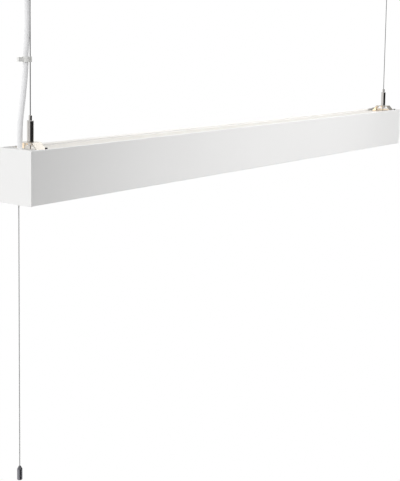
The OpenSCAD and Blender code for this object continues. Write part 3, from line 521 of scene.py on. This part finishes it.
paints = {
    "white_paint": {
        "color": (0.875, 0.872, 0.866), "patch": 7, "darken": 0.03, "rough": 0.36, "roughen": 0.1,
        "grain": 800, "fine": 0.3, "bump": 0.12, "depth": 0.0002},
    "cover_grey": {
        "color": (0.62, 0.62, 0.61), "patch": 20, "darken": 0.06, "rough": 0.5, "roughen": 0.12,
        "grain": 1400, "fine": 0.6, "bump": 0.2, "depth": 0.0002},
    "white_nylon": {
        "color": (0.84, 0.84, 0.82), "patch": 40, "darken": 0.05, "rough": 0.38, "roughen": 0.12,
        "grain": 1800, "fine": 0.5, "bump": 0.12, "depth": 0.0001},
    "circuit_board": {
        "color": (0.74, 0.77, 0.74), "patch": 30, "darken": 0.08, "rough": 0.42, "roughen": 0.12,
        "grain": 1500, "fine": 0.5, "bump": 0.1, "depth": 0.0001},
}
metals = {
    "steel": {
        "color": (0.56, 0.565, 0.57), "patch": 60, "darken": 0.15, "rough": 0.28, "roughen": 0.16,
        "stretch": (900, 900, 90), "bump": 0.08, "depth": 0.0001},
    "wire_strands": {
        "color": (0.22, 0.22, 0.23), "patch": 90, "darken": 0.2, "rough": 0.34, "roughen": 0.16,
        "stretch": (900, 900, 90), "bump": 0.08, "depth": 0.0001},
    "spring_steel": {
        "color": (0.70, 0.66, 0.60), "patch": 45, "darken": 0.12, "rough": 0.16, "roughen": 0.14,
        "stretch": (1600, 60, 1600), "bump": 0.06, "depth": 0.0001},
    "nickel": {
        "color": (0.62, 0.60, 0.58), "patch": 50, "darken": 0.1, "rough": 0.12, "roughen": 0.1,
        "stretch": (120, 120, 3500), "bump": 0.06, "depth": 0.00008},
    "dark_chrome": {
        "color": (0.24, 0.24, 0.26), "patch": 50, "darken": 0.1, "rough": 0.1, "roughen": 0.08,
        "stretch": (120, 120, 3500), "bump": 0.05, "depth": 0.00008},
    "black_steel": {
        "color": (0.035, 0.035, 0.037), "patch": 80, "darken": 0.2, "rough": 0.38, "roughen": 0.2,
        "stretch": (700, 700, 700), "bump": 0.1, "depth": 0.0001},
    "brass": {
        "color": (0.74, 0.52, 0.22), "patch": 60, "darken": 0.2, "rough": 0.24, "roughen": 0.16,
        "stretch": (900, 900, 90), "bump": 0.06, "depth": 0.0001},
}
cordLooks = {
    "white_sheath": {
        "color": (0.89, 0.89, 0.90), "patch": 30, "darken": 0.05, "rough": 0.42, "roughen": 0.1,
        "marks": (26, 40), "detail": 2, "bump": 0.15, "depth": 0.0001},
    "pull_braid": {
        "color": (0.44, 0.44, 0.44), "patch": 900, "darken": 0.2, "rough": 0.6, "roughen": 0.2,
        "specular": 0.3, "marks": (9, 300), "detail": 3, "bump": 0.5, "depth": 0.0001},
}

materials = {}
for key, look in paints.items():
    materials[key] = paintedSurface(key, look)[0]
for key, look in metals.items():
    materials[key] = metalSurface(key, look)
for key, look in cordLooks.items():
    materials[key] = cordSurface(key, look)

# Opal plastic lit from behind: faint clouding in a warm white glow. Its base colour is darkened to
# a grey beige as painted shade, for how dim the diffuser looks when seen low in its recess.
opal = {"color": (0.50, 0.488, 0.465), "patch": 25, "darken": 0.04, "rough": 0.42, "roughen": 0.1,
        "grain": 2200, "fine": 0.6, "bump": 0.1, "depth": 0.0001}
opalGlow = {"color": (1.0, 0.955, 0.88), "patch": 9, "darken": 0.05, "strength": 0.25}
materials["opal"], tree, shader = paintedSurface("opal", opal)
addGlow(tree, shader, opalGlow)

# The chips' yellow phosphor, dimly lit.
phosphor = {"color": (0.95, 0.74, 0.24), "patch": 700, "darken": 0.25, "rough": 0.3, "roughen": 0.2,
            "strength": 1.5}
materials["led_phosphor"], tree, shader = tonedSurface("led_phosphor", phosphor)
addGlow(tree, shader, phosphor)

# Folded sheet with a zinc coat: its crystals show in colour and in height.
zinc = {"crystals": 140, "stretch": (40, 900, 900), "rough": 0.32, "roughen": 0.16,
        "bump": 0.06, "depth": 0.0001}
materials["galvanised"], tree, shader = startMaterial("galvanised", metallic=1.0)
crystals = placeGroup(tree, "spangle", Scale=zinc["crystals"])
tree.links.new(crystals.outputs["Color"], shader.inputs["Base Color"])
drawn = placeGroup(tree, "lines", Stretch=zinc["stretch"], Roughness=zinc["rough"],
                   Roughen=zinc["roughen"])
tree.links.new(drawn.outputs["Roughness"], shader.inputs["Roughness"])
addBump(tree, shader, crystals.outputs["Mask"], zinc)

for name, node in nodes.items():
    node.data.materials.clear()
    node.data.materials.append(materials[slotOf[name]])
lowerCord.data.materials.append(materials["white_sheath"])
upperCord.data.materials.append(materials["white_sheath"])
pullPiece.data.materials.append(materials["pull_braid"])
for piece in (wireLeft, wireRight):
    piece.data.materials.append(materials["wire_strands"])
for piece, finish in springPieces:
    piece.data.materials.append(materials[finish])
print("materials placed:", len(materials))


# The world, as greys at places from 0 to 1. Near eye level it goes by the compass, from -X through
# -Y, +X and +Y to -X: bright on the left and behind, dark in front and on the right. Higher up, by
# the share in "upper", it goes by height instead. The camera sees plain white.
studio = {
    "strength": 1.4,
    "compass": [(0.0, 0.75), (0.075, 0.75), (0.11, 0.02), (0.52, 0.02), (0.58, 0.75), (1.0, 0.75)],
    "upper": [(0.0, 0), (0.62, 0), (0.74, 1), (1.0, 1)],
    "height": [(0.0, 0.36), (0.80, 0.36), (0.88, 0.70), (1.0, 0.70)],
}

world = bpy.data.worlds.new("studio")
scene.world = world
world.use_nodes = True
tree = world.node_tree
link = tree.links.new
shade = tree.nodes["Background"]
shade.inputs["Strength"].default_value = studio["strength"]


# A ramp of greys over a value from low to high.
def greyRamp(tree, source, low, high, stops):
    share = addNode(tree, "ShaderNodeMapRange")
    share.inputs["From Min"].default_value = low
    share.inputs["From Max"].default_value = high
    tree.links.new(source, share.inputs["Value"])
    ramp = addNode(tree, "ShaderNodeValToRGB")
    tree.links.new(share.outputs[0], ramp.inputs["Fac"])
    marks = ramp.color_ramp.elements
    while len(marks) < len(stops):
        marks.new(0.5)
    for mark, (at, value) in zip(marks, stops):
        mark.position, mark.color = at, (value, value, value, 1)
    return ramp.outputs["Color"]


direction = addNode(tree, "ShaderNodeTexCoord")
axes = addNode(tree, "ShaderNodeSeparateXYZ")
link(direction.outputs["Generated"], axes.inputs[0])
compass = addNode(tree, "ShaderNodeMath", operation="ARCTAN2")
link(axes.outputs["Y"], compass.inputs[0])
link(axes.outputs["X"], compass.inputs[1])
sky = addNode(tree, "ShaderNodeMix", data_type="RGBA")
link(greyRamp(tree, axes.outputs["Z"], -1, 1, studio["upper"]), sky.inputs["Factor"])
link(greyRamp(tree, compass.outputs[0], -math.pi, math.pi, studio["compass"]), sky.inputs["A"])
link(greyRamp(tree, axes.outputs["Z"], -1, 1, studio["height"]), sky.inputs["B"])
path = addNode(tree, "ShaderNodeLightPath")
seen = addNode(tree, "ShaderNodeMix", data_type="RGBA")
link(path.outputs["Is Camera Ray"], seen.inputs["Factor"])
link(sky.outputs["Result"], seen.inputs["A"])
seen.inputs["B"].default_value = (1 / studio["strength"],) * 3 + (1,)
link(seen.outputs["Result"], shade.inputs["Color"])

# A plain white floor, far below, that meets the background without a line.
floorLook = {"height": -2.4, "reach": 3.0, "color": (0.85, 0.85, 0.85), "patch": 0.8,
             "darken": 0.02, "rough": 0.7, "roughen": 0.1}
reach = floorLook["reach"]
corners = [(x * reach, y * reach, floorLook["height"])
           for x, y in ((-1, -1), (1, -1), (1, 1), (-1, 1))]
floorMesh = bpy.data.meshes.new("floor")
floorMesh.from_pydata(corners, [], [(0, 1, 2, 3)])
floor = bpy.data.objects.new("floor", floorMesh)
scene.collection.objects.link(floor)
material, tree, shader = tonedSurface("floorWhite", floorLook)
white = addNode(tree, "ShaderNodeEmission")
white.inputs["Color"].default_value = (1, 1, 1, 1)
path = addNode(tree, "ShaderNodeLightPath")
pick = addNode(tree, "ShaderNodeMixShader")
tree.links.new(path.outputs["Is Camera Ray"], pick.inputs[0])
tree.links.new(shader.outputs[0], pick.inputs[1])
tree.links.new(white.outputs[0], pick.inputs[2])
tree.links.new(pick.outputs[0], tree.nodes["Material Output"].inputs["Surface"])
floorMesh.materials.append(material)


def addLamp(name, kind, place, toward, power, **settings):
    lamp = bpy.data.lights.new(name, kind)
    lamp.energy = power
    for key, value in settings.items():
        setattr(lamp, key, value)
    holder = bpy.data.objects.new(name, lamp)
    holder.location = place
    holder.rotation_euler = Vector(toward).to_track_quat("-Z", "Y").to_euler()
    scene.collection.objects.link(holder)
    return holder


# Two broad soft lamps that show in no metal: from the left for the end cap and the cord, and from
# the front for the face.
broadLamps = {
    "endLamp": {"from": (-0.89, -0.16, 0.42), "power": 0.80, "softness": 30},
    "faceLamp": {"from": (0.30, -0.82, 0.48), "power": 0.57, "softness": 60},
}
for name, look in broadLamps.items():
    holder = addLamp(name, "SUN", look["from"], -Vector(look["from"]), look["power"],
                     angle=math.radians(look["softness"]))
    holder.visible_glossy = False

# Two soft spots in front, high to the right, brighten the face towards its far end. They show in
# no metal either.
spots = {
    "wideSpot": {"place": (1.1, -2.9, 1.3), "aim": (0.15, 0, -0.345), "power": 190,
                 "cone": 26, "blend": 0.7, "size": 0.15},
    "farSpot": {"place": (1.6, -2.7, 1.4), "aim": (0.13, 0, -0.345), "power": 85,
                "cone": 15, "blend": 1.0, "size": 0.15},
}
for name, look in spots.items():
    toward = Vector(look["aim"]) - Vector(look["place"])
    holder = addLamp(name, "SPOT", look["place"], toward, look["power"], spot_blend=look["blend"],
                     spot_size=math.radians(look["cone"]), shadow_soft_size=look["size"])
    holder.visible_glossy = False

# A soft box to the right, high up, that shows only in polished metal: it whitens the near clip.
clipLamp = {"place": (2.65, -0.32, 2.07), "aim": (-0.575, 0, -0.3), "power": 9.0, "size": 1.0}
toward = Vector(clipLamp["aim"]) - Vector(clipLamp["place"])
holder = addLamp("clipLamp", "AREA", clipLamp["place"], toward, clipLamp["power"],
                 size=clipLamp["size"])
holder.visible_diffuse = False

# The light's own glow: flat lamps just above the top diffuser shine upwards and move with the
# light. A weak strip covers nearly all of the diffuser, and a warmer patch lies under each clip. A
# patch's power is its brightness times pi times its area.
upLight = {"power": 0.025, "color": (1.0, 0.90, 0.74), "proud": 0.0006, "cover": 0.98}
clipGlow = {"inner": 0.5665, "outer": 0.5835, "width": 0.046, "color": (1.0, 0.74, 0.47),
            "left": 1.3, "right": 2.0}
low, high = (Vector(corner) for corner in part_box("top_diffuser"))
span, middle = clipGlow["outer"] - clipGlow["inner"], (clipGlow["outer"] + clipGlow["inner"]) / 2
glows = [("upLight", (low.x + high.x) / 2, (high.x - low.x) * upLight["cover"], high.y - low.y,
          upLight["power"], upLight["color"])]
for name, x, side in (("clipGlowLeft", -middle, "left"), ("clipGlowRight", middle, "right")):
    power = clipGlow[side] * math.pi * span * clipGlow["width"]
    glows.append((name, x, span, clipGlow["width"], power, clipGlow["color"]))
for name, x, length, width, power, color in glows:
    holder = addLamp(name, "AREA", (x, 0, high.z + upLight["proud"]), (0, 0, 1), power,
                     color=color, shape="RECTANGLE", size=length, size_y=width)
    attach(holder, "light")
print("studio set")
